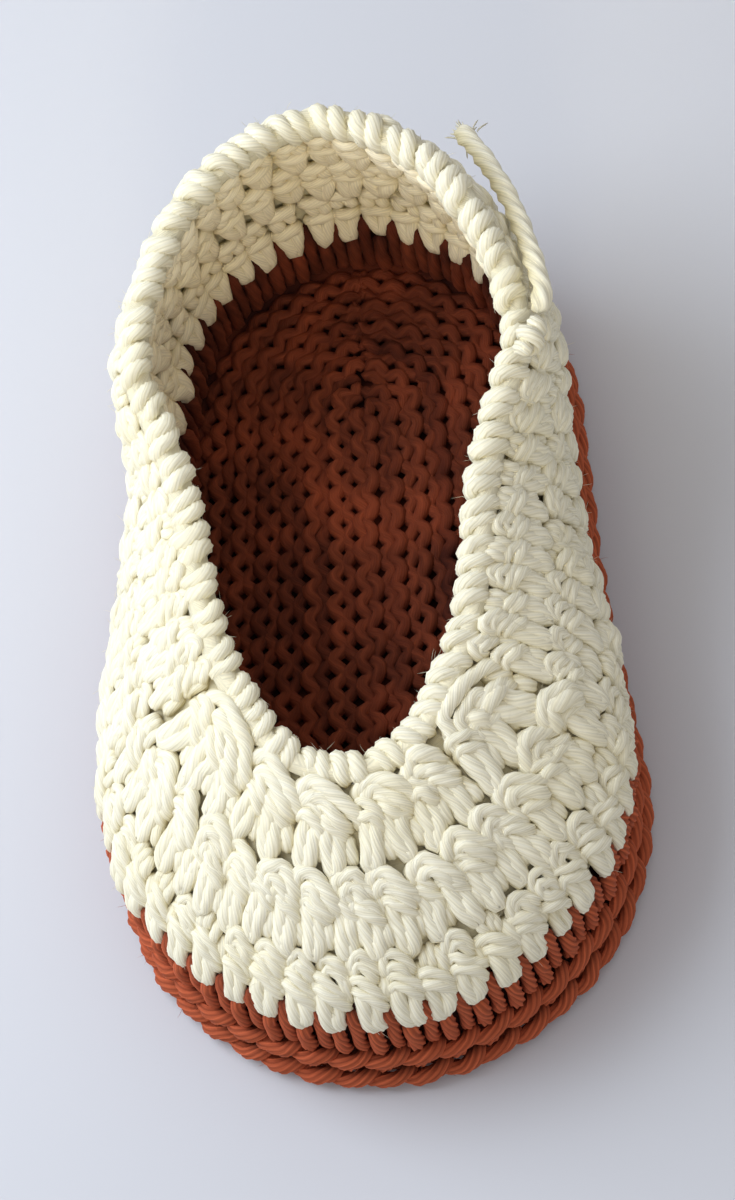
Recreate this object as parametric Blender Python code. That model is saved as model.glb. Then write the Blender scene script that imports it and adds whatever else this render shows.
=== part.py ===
"""Crocheted baby shoe: two-layer sole, hollow upper, collar edging, knot and yarn tail.

Metres, +Z up. The toe points along -Y, the heel along +Y, and the shoe stands on the floor at Z = 0
with its origin under the middle of the sole. The shoe is the same on both sides, so it fits either foot.
"""

import math
from collections import namedtuple

import bmesh
import bpy
from mathutils import Vector

# Driving sizes
SOLE_LENGTH = 0.100
BALL_WIDTH = 0.058
HEEL_WIDTH = 0.048
WAIST = 0.0008
YARN = 0.0021
WALL = 0.0030
GAP = 0.0003
COLUMNS = 64
ROWS = 3
RINGS_PER_ROW = 4
ROW_RELIEF = 0.0005
SLOPE_STEP = 0.001
CLIMB_STEPS = 24
SHARP_ANGLE = math.radians(50)

# The sole's plan is a toe circle and a heel circle joined by sides that draw in a little at the waist
TOE_RADIUS = BALL_WIDTH / 2
HEEL_RADIUS = HEEL_WIDTH / 2
TOE_CENTRE = TOE_RADIUS - SOLE_LENGTH / 2
HEEL_CENTRE = SOLE_LENGTH / 2 - HEEL_RADIUS
CENTRES_APART = HEEL_CENTRE - TOE_CENTRE
SIDE_TAPER = math.asin((TOE_RADIUS - HEEL_RADIUS) / CENTRES_APART)
TOE_ARC = TOE_RADIUS * (math.pi / 2 + SIDE_TAPER)
SIDE_RUN = CENTRES_APART * math.cos(SIDE_TAPER)
HEEL_ARC = HEEL_RADIUS * (math.pi / 2 - SIDE_TAPER)
HALF_ROUND = TOE_ARC + SIDE_RUN + HEEL_ARC

# Sole heights
OUTSOLE_TOP = 0.0037
INSOLE_BASE = OUTSOLE_TOP + GAP
INSOLE_FLOOR = 0.0076
BAND_TOP = 0.0131
UPPER_BASE = BAND_TOP + GAP

# How far the pieces stand in from the sole's widest line
UPPER_INSET = 0.0028
BAND_INSET = 0.0030
FLOOR_INSET = BAND_INSET + WALL

# Beside the ball of the foot the band leans out from LEAN_FROM upwards, and the upper with it
SIDE_SPREAD = 0.0016
SPREAD_START = 0.10
SPREAD_END = 0.75
LEAN_FROM = 0.0077

# Side profiles of the two sole layers, from the underside round the rim to the top
ProfileRow = namedtuple("ProfileRow", "inset height")
OUTSOLE_PROFILE = (
    ProfileRow(0.0034, 0.0),
    ProfileRow(0.0012, 0.0005),
    ProfileRow(0.0, 0.0017),
    ProfileRow(0.0003, 0.0028),
    ProfileRow(0.0019, OUTSOLE_TOP),
)
INSOLE_PROFILE = (
    ProfileRow(0.0024, INSOLE_BASE),
    ProfileRow(0.0012, 0.0047),
    ProfileRow(0.0007, 0.0059),
    ProfileRow(0.0014, 0.0070),
    ProfileRow(0.0031, 0.0077),
    ProfileRow(0.0025, 0.0104),
    ProfileRow(BAND_INSET, BAND_TOP),
    ProfileRow(FLOOR_INSET, BAND_TOP),
    ProfileRow(FLOOR_INSET, 0.0092),
    ProfileRow(FLOOR_INSET + 0.0014, INSOLE_FLOOR),
)

# The collar line, one row for each station from the middle of the throat back to the middle of the heel.
# share: how far round the half sole the station's column of stitches starts
CollarRow = namedtuple("CollarRow", "share along half_width height")
COLLAR_LINE = (
    CollarRow(0.00, -0.0266, 0.0000, 0.0288),
    CollarRow(0.13, -0.0249, 0.0058, 0.0290),
    CollarRow(0.25, -0.0206, 0.0100, 0.0296),
    CollarRow(0.33, -0.0147, 0.0132, 0.0306),
    CollarRow(0.40, -0.0096, 0.0149, 0.0314),
    CollarRow(0.48, -0.0028, 0.0162, 0.0326),
    CollarRow(0.56, 0.0042, 0.0173, 0.0333),
    CollarRow(0.63, 0.0107, 0.0192, 0.0342),
    CollarRow(0.70, 0.0180, 0.0215, 0.0362),
    CollarRow(0.78, 0.0267, 0.0197, 0.0388),
    CollarRow(0.89, 0.0380, 0.0126, 0.0408),
    CollarRow(1.00, 0.0438, 0.0000, 0.0414),
)

# The upper's wall between the sole and the collar line, one row for each station.
# bulge and rise steer the wall where it leaves the sole; reach and drop, where it meets the collar line
WallRow = namedtuple("WallRow", "share bulge rise reach drop")
WALL_SHAPE = (
    WallRow(0.00, 0.0016, 0.0036, 0.0098, 0.0042),
    WallRow(0.25, 0.0016, 0.0040, 0.0094, 0.0044),
    WallRow(0.42, 0.0015, 0.0054, 0.0070, 0.0050),
    WallRow(0.58, 0.0016, 0.0070, 0.0045, 0.0062),
    WallRow(0.77, 0.0020, 0.0092, 0.0026, 0.0088),
    WallRow(1.00, 0.0020, 0.0095, 0.0027, 0.0094),
)

# Collar edging: a cord-like round bead whose flat foot sits on the upper's top edge
EDGING_HALF_WIDTH = 0.0020
EDGING_HEIGHT = 0.0031
EDGING_SIDES = 7

# Yarn tail: leaves a knot on the edging at one side of the ankle and hangs back outside the heel.
# KNOT_TURN is how far round the bead the knot sits, from its outer side towards its top
KNOT_SHARE = 0.68
KNOT_TURN = math.radians(45)
KNOT_RADII = Vector((0.0019, 0.0023, 0.0019))
TAIL_ROUTE = (
    Vector((0.0223, 0.0184, 0.0397)),
    Vector((0.0228, 0.0209, 0.0395)),
    Vector((0.0224, 0.0234, 0.0390)),
    Vector((0.0217, 0.0266, 0.0383)),
    Vector((0.0208, 0.0301, 0.0375)),
    Vector((0.0197, 0.0338, 0.0365)),
    Vector((0.0185, 0.0370, 0.0354)),
    Vector((0.0171, 0.0403, 0.0342)),
    Vector((0.0158, 0.0431, 0.0328)),
    Vector((0.0143, 0.0462, 0.0309)),
)
TAIL_STEP = 0.0024

COLOURS = {
    "rust_cotton": (0.30, 0.075, 0.035, 1.0),
    "cream_cotton": (0.82, 0.79, 0.63, 1.0),
}
COTTON_ROUGHNESS = 0.9


def outline(share, inset):
    """Point of the sole's plan, moved in by inset: share 0 is the toe tip, 1 and -1 the heel."""
    run = abs(share) * HALF_ROUND
    square = math.pi / 2 + SIDE_TAPER
    if run <= TOE_ARC:
        angle, centre, radius = run / TOE_RADIUS, TOE_CENTRE, TOE_RADIUS
    elif run <= TOE_ARC + SIDE_RUN:
        part = (run - TOE_ARC) / SIDE_RUN
        angle = square
        centre = TOE_CENTRE + part * CENTRES_APART
        radius = TOE_RADIUS + part * (HEEL_RADIUS - TOE_RADIUS)
        radius -= WAIST * math.sin(math.pi * part) ** 2
    else:
        angle = square + (run - TOE_ARC - SIDE_RUN) / HEEL_RADIUS
        centre, radius = HEEL_CENTRE, HEEL_RADIUS
    outward = Vector((math.copysign(math.sin(angle), share), -math.cos(angle), 0.0))
    return Vector((0.0, centre, 0.0)) + outward * (radius - inset), outward


def from_table(rows, column, share, mirror=1.0):
    """Smooth value of one column at a share, through the rows and their mirror images past each end."""
    values = [(row.share, getattr(row, column)) for row in rows]
    before = (-values[1][0], mirror * values[1][1])
    after = (2.0 - values[-2][0], mirror * values[-2][1])
    values = [before, *values, after]
    i = 1
    while i < len(values) - 3 and share > values[i + 1][0]:
        i += 1
    (s0, v0), (s1, v1), (s2, v2), (s3, v3) = values[i - 1 : i + 3]
    slope1 = (v2 - v0) / (s2 - s0)
    slope2 = (v3 - v1) / (s3 - s1)
    span = s2 - s1
    t = (share - s1) / span
    return (
        v1 * (2 * t**3 - 3 * t**2 + 1)
        + slope1 * span * (t**3 - 2 * t**2 + t)
        + v2 * (3 * t**2 - 2 * t**3)
        + slope2 * span * (t**3 - t**2)
    )


def collar(share):
    """Point of the collar line, on the outer face of the upper's top edge."""
    s = abs(share)
    half_width = from_table(COLLAR_LINE, "half_width", s, mirror=-1.0)
    return Vector(
        (
            math.copysign(half_width, share),
            from_table(COLLAR_LINE, "along", s),
            from_table(COLLAR_LINE, "height", s),
        )
    )


def spread(share, height):
    """How far the band and the upper's foot lean out at a share and a height."""
    part = (abs(share) - SPREAD_START) / (SPREAD_END - SPREAD_START)
    lean = (height - LEAN_FROM) / (BAND_TOP - LEAN_FROM)
    part, lean = (min(max(value, 0.0), 1.0) for value in (part, lean))
    return SIDE_SPREAD * lean * math.sin(math.pi * part) ** 2


def wall_point(share, t):
    """Point of the upper's smooth outer face: t runs 0 at the sole to 1 at the collar line."""
    foot, outward = outline(share, UPPER_INSET - spread(share, UPPER_BASE))
    foot.z = UPPER_BASE
    bulge, rise, reach, drop = (
        from_table(WALL_SHAPE, column, abs(share)) for column in ("bulge", "rise", "reach", "drop")
    )
    up = Vector((0.0, 0.0, 1.0))
    top = collar(share)
    low_guide = foot + outward * bulge + up * rise
    high_guide = top + outward * reach - up * drop
    return (
        foot * (1 - t) ** 3
        + low_guide * 3 * t * (1 - t) ** 2
        + high_guide * 3 * t**2 * (1 - t)
        + top * t**3
    )


def wall_normal(share, t):
    """Direction out of the upper's outer face."""
    low, high = max(t - SLOPE_STEP, 0.0), min(t + SLOPE_STEP, 1.0)
    along = wall_point(share + SLOPE_STEP, t) - wall_point(share - SLOPE_STEP, t)
    upward = wall_point(share, high) - wall_point(share, low)
    return along.cross(upward).normalized()


def climb_to(share, part):
    """The t at which a column of stitches has covered a part of its length up the wall."""
    places = [wall_point(share, k / CLIMB_STEPS) for k in range(CLIMB_STEPS + 1)]
    runs = [(high - low).length for low, high in zip(places, places[1:])]
    left = part * sum(runs)
    k = 0
    while k < CLIMB_STEPS - 1 and left > runs[k]:
        left -= runs[k]
        k += 1
    return (k + left / runs[k]) / CLIMB_STEPS


def column_shares():
    """Shares of the columns of stitches, once round the shoe from the heel over one side and back."""
    return [-1.0 + 2.0 * i / COLUMNS for i in range(COLUMNS)]


def bridge(bm, rings, closed):
    """Quads between neighbouring rings of points, and between the last and the first where closed."""
    loops = [[bm.verts.new(point) for point in ring] for ring in rings]
    pairs = list(zip(loops, loops[1:]))
    if closed:
        pairs.append((loops[-1], loops[0]))
    for low, high in pairs:
        for i in range(len(low)):
            j = (i + 1) % len(low)
            bm.faces.new((low[i], low[j], high[j], high[i]))
    return loops


def cotton(name):
    """Matte yarn material."""
    material = bpy.data.materials.get(name) or bpy.data.materials.new(name)
    material.use_nodes = True
    shader = material.node_tree.nodes["Principled BSDF"]
    shader.inputs["Base Color"].default_value = COLOURS[name]
    shader.inputs["Roughness"].default_value = COTTON_ROUGHNESS
    shader.inputs["Metallic"].default_value = 0.0
    return material


def finish_mesh(name, bm, material, shoe):
    """Object from a bmesh, with its faces turned out, shaded smooth and parented to the shoe."""
    bmesh.ops.recalc_face_normals(bm, faces=bm.faces)
    mesh = bpy.data.meshes.new(name)
    bm.to_mesh(mesh)
    bm.free()
    mesh.materials.append(cotton(material))
    mesh.shade_smooth()
    mesh.set_sharp_from_angle(angle=SHARP_ANGLE)
    obj = bpy.data.objects.new(name, mesh)
    bpy.context.scene.collection.objects.link(obj)
    obj.parent = shoe
    return obj


def sole_layer(name, profile, shoe):
    """Crocheted sole layer: its side profile carried round the sole's plan, closed by flat faces."""
    bm = bmesh.new()
    rings = []
    for row in profile:
        lift = Vector((0.0, 0.0, row.height))
        insets = {share: row.inset - spread(share, row.height) for share in column_shares()}
        rings.append([outline(share, inset)[0] + lift for share, inset in insets.items()])
    loops = bridge(bm, rings, closed=False)
    bm.faces.new(loops[0])
    bm.faces.new(loops[-1])
    return finish_mesh(name, bm, "rust_cotton", shoe)


def upper(shoe):
    """Upper: one hollow wall from the sole to the collar line, with its rows of stitches as low ribs."""
    bm = bmesh.new()
    ring_count = ROWS * RINGS_PER_ROW
    rings = []
    for k in range(ring_count + 1):
        part = k / ring_count
        rib = ROW_RELIEF * math.sin(math.pi * ROWS * part) ** 2
        climbs = {share: climb_to(share, part) for share in column_shares()}
        rings.append(
            [wall_point(share, t) + wall_normal(share, t) * rib for share, t in climbs.items()]
        )
    bridge(bm, rings, closed=False)
    obj = finish_mesh("upper", bm, "cream_cotton", shoe)
    solidify = obj.modifiers.new("wall", "SOLIDIFY")
    solidify.thickness = WALL
    solidify.offset = -1.0
    solidify.use_even_offset = True
    solidify.use_rim = True
    return obj


def edging_frame(share):
    """Middle of the upper's top edge, with the directions out of the wall and on past its top."""
    normal = wall_normal(share, 1.0)
    past = wall_point(share, 1.0) - wall_point(share, 1.0 - SLOPE_STEP)
    past = (past - normal * past.dot(normal)).normalized()
    return wall_point(share, 1.0) - normal * (WALL / 2) + past * GAP, normal, past


def collar_edging(shoe):
    """Slip-stitch edging: a bead with a flat foot, carried once round the collar and throat."""
    bm = bmesh.new()
    rings = []
    for share in column_shares():
        foot, normal, past = edging_frame(share)
        ring = []
        for i in range(EDGING_SIDES + 1):
            turn = math.pi * i / EDGING_SIDES
            ring.append(
                foot
                + normal * (EDGING_HALF_WIDTH * math.cos(turn))
                + past * (EDGING_HEIGHT * math.sin(turn))
            )
        rings.append(ring)
    bridge(bm, rings, closed=True)
    return finish_mesh("collar_edging", bm, "cream_cotton", shoe)


def tail_knot(shoe):
    """Fastening knot: a small lump of yarn on the outer shoulder of the edging."""
    foot, normal, past = edging_frame(KNOT_SHARE)
    side, rise = math.cos(KNOT_TURN), math.sin(KNOT_TURN)
    shoulder = foot + normal * (EDGING_HALF_WIDTH * side) + past * (EDGING_HEIGHT * rise)
    away = (normal * (side / EDGING_HALF_WIDTH) + past * (rise / EDGING_HEIGHT)).normalized()
    bm = bmesh.new()
    bmesh.ops.create_icosphere(bm, subdivisions=2, radius=1.0)
    bmesh.ops.scale(bm, vec=KNOT_RADII, verts=bm.verts)
    knot = finish_mesh("tail_knot", bm, "cream_cotton", shoe)
    knot.location = shoulder + away * (KNOT_RADII.x + GAP)
    return knot


def smooth_route(points, step):
    """Points a step apart along a smooth curve through the given ones."""
    ghosts = [points[0] * 2 - points[1], *points, points[-1] * 2 - points[-2]]
    fine = []
    for p0, p1, p2, p3 in zip(ghosts, ghosts[1:], ghosts[2:], ghosts[3:]):
        for k in range(8):
            t = k / 8
            fine.append(
                (
                    p1 * 2
                    + (p2 - p0) * t
                    + (p0 * 2 - p1 * 5 + p2 * 4 - p3) * t**2
                    + (p1 * 3 - p0 - p2 * 3 + p3) * t**3
                )
                / 2
            )
    fine.append(points[-1])
    length = sum((b - a).length for a, b in zip(fine, fine[1:]))
    count = max(2, round(length / step))
    route, walked, target = [fine[0]], 0.0, 1
    for a, b in zip(fine, fine[1:]):
        span = (b - a).length
        while target < count and walked + span >= length * target / count:
            route.append(a.lerp(b, (length * target / count - walked) / span))
            target += 1
        walked += span
    route.append(fine[-1])
    return route


def yarn_tail(shoe):
    """Loose end of the collar yarn."""
    route = smooth_route(TAIL_ROUTE, TAIL_STEP)
    curve = bpy.data.curves.new("yarn_tail", "CURVE")
    curve.dimensions = "3D"
    curve.bevel_depth = YARN / 2
    curve.bevel_resolution = 2
    curve.use_fill_caps = True
    spline = curve.splines.new("POLY")
    spline.points.add(len(route) - 1)
    for point, place in zip(spline.points, route):
        point.co = (*place, 1.0)
    curve.materials.append(cotton("cream_cotton"))
    tail = bpy.data.objects.new("yarn_tail", curve)
    bpy.context.scene.collection.objects.link(tail)
    tail.parent = shoe
    return tail


def main():
    for obj in list(bpy.data.objects):
        bpy.data.objects.remove(obj)
    shoe = bpy.data.objects.new("baby_shoe", None)
    bpy.context.scene.collection.objects.link(shoe)
    sole_layer("outsole", OUTSOLE_PROFILE, shoe)
    sole_layer("insole", INSOLE_PROFILE, shoe)
    upper(shoe)
    collar_edging(shoe)
    tail_knot(shoe)
    yarn_tail(shoe)


main()
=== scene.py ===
"""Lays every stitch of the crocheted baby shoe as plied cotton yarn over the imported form.

Metres, +Z up, toe towards -Y. A place on the upper is given by share, climb and out: share runs
round the foot from the toe (0) to the heel (1, or -1 on the other side), climb goes up the wall from
the sole (0) to the collar (1), and out is the distance outside the wall's outer face.
"""

import logging
import math
from dataclasses import dataclass, field, fields
from enum import Enum
from typing import Any

import bpy
import numpy as np
from mathutils import Matrix, Vector


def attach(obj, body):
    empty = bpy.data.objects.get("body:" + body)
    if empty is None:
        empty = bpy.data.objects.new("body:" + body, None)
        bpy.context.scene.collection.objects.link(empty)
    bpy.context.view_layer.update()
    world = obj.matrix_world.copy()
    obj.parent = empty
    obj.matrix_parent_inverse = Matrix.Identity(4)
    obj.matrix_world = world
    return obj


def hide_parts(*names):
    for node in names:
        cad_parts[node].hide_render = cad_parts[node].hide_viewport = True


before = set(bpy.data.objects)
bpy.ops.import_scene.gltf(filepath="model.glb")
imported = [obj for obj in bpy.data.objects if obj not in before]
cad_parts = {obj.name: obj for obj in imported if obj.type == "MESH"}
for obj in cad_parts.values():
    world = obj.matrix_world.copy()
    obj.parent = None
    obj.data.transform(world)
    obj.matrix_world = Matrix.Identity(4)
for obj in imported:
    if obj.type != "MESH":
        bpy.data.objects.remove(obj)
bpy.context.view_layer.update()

Array = np.ndarray
Rows = tuple[tuple[float, ...], ...]
LOG = logging.getLogger("baby_shoe")
MM = 0.001
BODY = "root"
SEED = 20
UV_NAME = "yarn"
# The mesh's level of painted light, which the shader turns into painted shade.
PAINTED_LIGHT_NAME = "yarn_painted_light"
UP = np.array((0.0, 0.0, 1.0))


def linear(hex_colour: str) -> tuple[float, float, float, float]:
    """Turns an sRGB hex colour into linear RGBA.

    Args:
        hex_colour: six hex digits.

    Returns:
        Red, green, blue and an alpha of 1.
    """
    parts = [int(hex_colour[i:i + 2], 16) / 255 for i in (0, 2, 4)]
    r, g, b = (p / 12.92 if p <= 0.04045 else ((p + 0.055) / 1.055) ** 2.4 for p in parts)
    return r, g, b, 1.0


def add_node(tree: bpy.types.NodeTree, kind: str, inputs: dict[Any, Any] | None = None,
             **settings: Any) -> bpy.types.Node:
    """Adds a node with its settings and links.

    Args:
        tree: the node tree that takes it.
        kind: the node's type name.
        inputs: for each input's name or number, a value or the output socket that feeds it.
        settings: the node's own properties.

    Returns:
        The new node.
    """
    node = tree.nodes.new(kind)
    for name, value in settings.items():
        setattr(node, name, value)
    for name, value in (inputs or {}).items():
        if isinstance(value, bpy.types.NodeSocket):
            tree.links.new(value, node.inputs[name])
        else:
            node.inputs[name].default_value = value
    return node


def unit(vectors: Array) -> Array:
    """Returns the vectors at length 1."""
    return vectors / np.maximum(np.linalg.norm(vectors, axis=-1, keepdims=True), 1e-12)


def pinned(place: Array, facing: Array, out: Array) -> Array:
    """Joins places, the directions that strands face there and their distances out of the fabric."""
    return np.concatenate([place, np.broadcast_to(facing, place.shape), out[..., None]], axis=-1)


def smooth_lines(points: Array, step: float) -> Array:
    """Draws Catmull-Rom curves through the points of many strands.

    Args:
        points: strands x points x channels, of which the first three are the place.
        step: the distance between samples on the longest strand.

    Returns:
        Strands x samples x channels, evenly spaced along each strand.
    """
    fine = 8
    ends = 2 * points[:, [0, -1]] - points[:, [1, -2]]
    padded = np.concatenate([ends[:, :1], points, ends[:, 1:]], axis=1)
    spans = points.shape[1] - 1
    p0, p1, p2, p3 = (padded[:, i:i + spans, None, :] for i in range(4))
    u = (np.arange(fine) / fine)[None, None, :, None]
    curve = 0.5 * (2 * p1 + (p2 - p0) * u + (2 * p0 - 5 * p1 + 4 * p2 - p3) * u ** 2
                   + (3 * p1 - p0 - 3 * p2 + p3) * u ** 3)
    curve = np.concatenate([curve.reshape(len(points), spans * fine, -1), points[:, -1:]], axis=1)
    runs = np.linalg.norm(np.diff(curve[..., :3], axis=1), axis=-1)
    along = np.concatenate([np.zeros((len(points), 1)), np.cumsum(runs, axis=1)], axis=1)
    count = max(4, math.ceil(along[:, -1].max() / step) + 1)
    even = np.linspace(0, 1, count)
    return np.stack([
        np.stack([np.interp(even * a[-1], a, c[:, k]) for k in range(c.shape[1])], axis=-1)
        for a, c in zip(along, curve)
    ])


@dataclass(frozen=True)
class CottonFinish:
    """Spun, dyed and plied cotton yarn.

    A matt yarn whose soft plies catch the light, with fine fibre lines along them, a faint bloom of
    loose fibre at grazing angles, and painted shade: a deeper colour painted where light is lost between
    the stitches and in the grooves between the plies.
    """

    name: str
    slot: str
    face: str
    # The colour of painted shade, where light is lost deep between the stitches.
    painted_shade: str
    patch: str
    roughness: float = 0.88
    ior: float = 1.54
    specular: float = 0.2
    sheen: float = 0.2
    sheen_roughness: float = 0.5
    # The yarn has about 16 fine singles round it.
    singles: int = 16
    singles_weight: float = 0.4
    girth_mm: float = 6.4
    # Cotton fibres are about 0.02 mm thick; they are drawn as 0.2 mm lines so that they show.
    fibre_mm: float = 0.20
    fibre_run_mm: float = 3.0
    # The dye takes unevenly over patches about two stitches wide.
    patch_mm: float = 9.0
    patch_span: tuple[float, float] = (0.45, 0.75)
    patch_most: float = 0.5
    # The grain between these levels darkens and lightens the colour by these factors: the fibres' own
    # streaks, with painted shade in the fine grooves between the singles.
    grain_span: tuple[float, float] = (0.30, 1.00)
    shade_span: tuple[float, float] = (0.80, 1.06)
    relief_mm: float = 0.06
    relief_strength: float = 0.8

    def material(self) -> bpy.types.Material:
        """Builds the yarn's shader.

        Returns:
            The material, whose colour is painted darker where the mesh's level of painted light is low, as
            painted shade between the stitches, and follows its fibre lines.
        """
        made = bpy.data.materials.new(self.name)
        made.use_nodes = True
        tree = made.node_tree
        shader = tree.nodes["Principled BSDF"]
        for socket, value in (
                ("Roughness", self.roughness), ("IOR", self.ior), ("Specular IOR Level", self.specular),
                ("Sheen Weight", self.sheen), ("Sheen Roughness", self.sheen_roughness),
                ("Sheen Tint", linear(self.face))):
            shader.inputs[socket].default_value = value
        # Painted shade: the colour runs from the painted shade colour deep in the fabric to the face colour
        # on its face.
        painted_light = add_node(tree, "ShaderNodeAttribute", attribute_name=PAINTED_LIGHT_NAME)
        base = add_node(tree, "ShaderNodeMix", {
            0: painted_light.outputs["Fac"], 6: linear(self.painted_shade), 7: linear(self.face)}, data_type="RGBA")
        place = add_node(tree, "ShaderNodeTexCoord")
        patches = add_node(tree, "ShaderNodeTexNoise", {
            "Vector": place.outputs["Object"], "Scale": 1 / (self.patch_mm * MM), "Detail": 3.0})
        amount = add_node(tree, "ShaderNodeMapRange", {
            0: patches.outputs["Fac"], 1: self.patch_span[0], 2: self.patch_span[1],
            3: 0.0, 4: self.patch_most})
        # The dye's patches are laid over a colour that already carries the painted shade.
        dyed = add_node(tree, "ShaderNodeMix", {
            0: amount.outputs[0], 6: base.outputs[2], 7: linear(self.patch)}, data_type="RGBA")
        length = add_node(tree, "ShaderNodeUVMap", uv_map=UV_NAME)
        lines = add_node(tree, "ShaderNodeVectorMath", {
            0: length.outputs["UV"],
            1: (1 / self.fibre_run_mm, self.girth_mm / self.fibre_mm, 1.0)}, operation="MULTIPLY")
        fibres = add_node(tree, "ShaderNodeTexNoise", {
            "Vector": lines.outputs[0], "Scale": 1.0, "Detail": 2.0, "Roughness": 0.6})
        # Wave bands turn through 20 radians for each unit of the line pattern.
        turns = self.singles * math.tau / 20 * self.fibre_mm / self.girth_mm
        singles = add_node(tree, "ShaderNodeTexWave", {
            "Vector": lines.outputs[0], "Scale": turns, "Distortion": 5.0, "Detail": 1.0,
            "Detail Scale": 4.0}, bands_direction="Y")
        grain = add_node(tree, "ShaderNodeMath", {
            0: singles.outputs["Fac"], 1: self.singles_weight, 2: fibres.outputs["Fac"]},
            operation="MULTIPLY_ADD")
        shade = add_node(tree, "ShaderNodeMapRange", {
            0: grain.outputs[0], 1: self.grain_span[0], 2: self.grain_span[1],
            3: self.shade_span[0], 4: self.shade_span[1]})
        # The grain scales the colour: the fibres' own streaks, and painted shade in the fine grooves.
        lined = add_node(tree, "ShaderNodeVectorMath", {
            0: dyed.outputs[2], "Scale": shade.outputs[0]}, operation="SCALE")
        relief = add_node(tree, "ShaderNodeBump", {
            "Strength": self.relief_strength, "Distance": self.relief_mm * MM,
            "Height": grain.outputs[0]})
        tree.links.new(lined.outputs[0], shader.inputs["Base Color"])
        tree.links.new(relief.outputs[0], shader.inputs["Normal"])
        return made


# Undyed cotton, spun and plied: a matt warm white, with painted shade that turns it olive between the
# stitches.
CREAM_COTTON = CottonFinish("undyed_plied_cotton_yarn", "cream_cotton", "F9F4DC", "BCA966", "F2E9C4")
# The same yarn inside the shoe, painted yellower and brighter: painted light for the light that has come
# through the cotton.
INNER_PAINTED_LIGHT_COTTON = CottonFinish(
    "undyed_plied_cotton_yarn_inside_painted_light", "cream_cotton", "FFF4D4", "D2BE7C", "FAEBC0")
# Cotton dyed in the yarn: a dull brick red, with painted shade that makes it nearly black in the holes.
RUST_COTTON = CottonFinish(
    "rust_dyed_plied_cotton_yarn", "rust_cotton", "CC6640", "300D07", "B05232", sheen=0.08)


@dataclass(frozen=True)
class LaminateFinish:
    """Pressed laminate with a matt face: a pale, even grey-white with the faintest clouding."""

    name: str = "matt_white_laminate_table"
    colours: tuple[str, str] = ("C9CACC", "CDCED0")
    roughness: float = 0.6
    cloud_mm: float = 1000 / 6

    def material(self) -> bpy.types.Material:
        """Builds the table top's shader.

        Returns:
            The material.
        """
        made = bpy.data.materials.new(self.name)
        made.use_nodes = True
        tree = made.node_tree
        shader = tree.nodes["Principled BSDF"]
        shader.inputs["Roughness"].default_value = self.roughness
        place = add_node(tree, "ShaderNodeTexCoord")
        cloud = add_node(tree, "ShaderNodeTexNoise", {
            "Vector": place.outputs["Object"], "Scale": 1 / (self.cloud_mm * MM), "Detail": 2.0})
        tint = add_node(tree, "ShaderNodeMix", {
            0: cloud.outputs["Fac"], 6: linear(self.colours[0]), 7: linear(self.colours[1])},
            data_type="RGBA")
        tree.links.new(tint.outputs[2], shader.inputs["Base Color"])
        return made


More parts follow.
